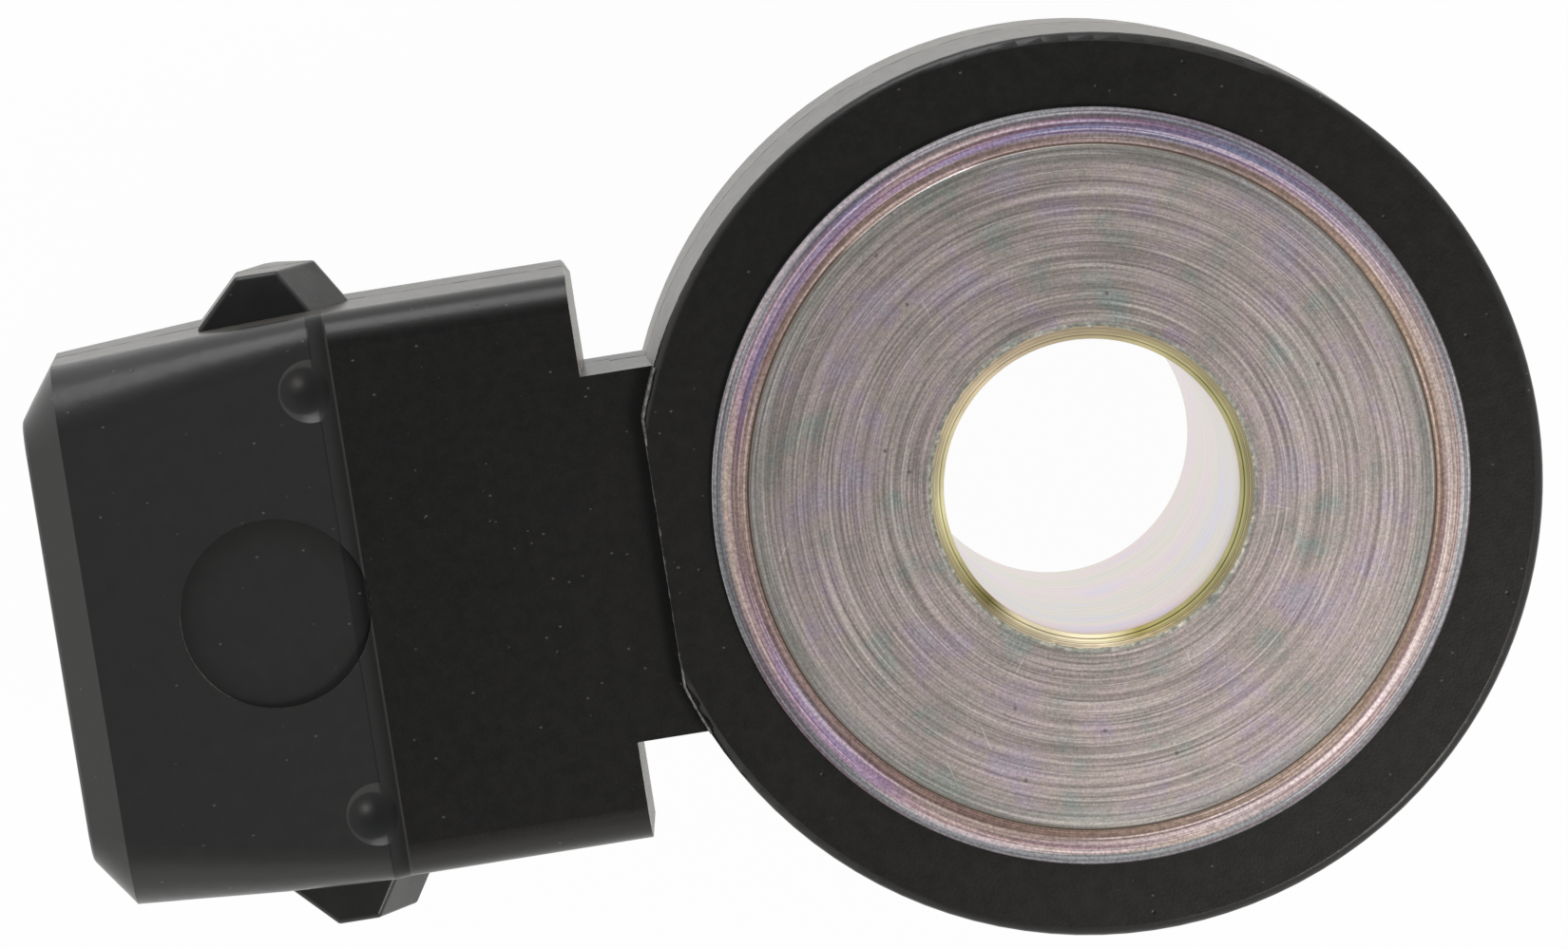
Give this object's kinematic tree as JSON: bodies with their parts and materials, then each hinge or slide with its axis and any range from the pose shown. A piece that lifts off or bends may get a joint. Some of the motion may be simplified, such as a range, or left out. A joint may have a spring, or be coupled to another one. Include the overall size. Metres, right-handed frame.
{
  "type": "engine knock sensor",
  "caption": "Ring shaped vibration sensor with a through bolt bore, a raised metal contact face and a two pole plug socket moulded to its side.",
  "frame": {"origin": "on the bolt bore's axis, in the plane of the raised metal contact face", "axes": "+Z is the outward normal of the contact face, along the bore; +X points out of the plug socket's mouth"},
  "size_m": [0.0427, 0.026, 0.018],
  "materials": {
    "housing_plastic": "fine matte glass filled nylon, charcoal black",
    "plated_steel": "turned, zinc plated with an iridescent passivation",
    "bare_steel": "turned, bare",
    "contact_brass": "rolled sheet",
    "terminal_metal": "tin plated, satin",
    "piezo_ceramic": "fired, silvered faces",
    "insulating_film": "amber film",
    "resistor_ceramic": "lacquered"
  },
  "bodies": {
    "root": {"moulded_housing": "housing_plastic", "metal_bushing": "plated_steel", "insulating_tube": "insulating_film", "flange_insulator": "insulating_film", "flange_contact": "contact_brass", "piezo_ring": "piezo_ceramic", "mass_contact": "contact_brass", "mass_insulator": "insulating_film", "seismic_mass": "bare_steel", "disc_spring": "bare_steel", "clamp_nut": "bare_steel", "terminal_left": "terminal_metal", "terminal_right": "terminal_metal", "shunt_resistor": "resistor_ceramic"}
  },
  "joints": []
}
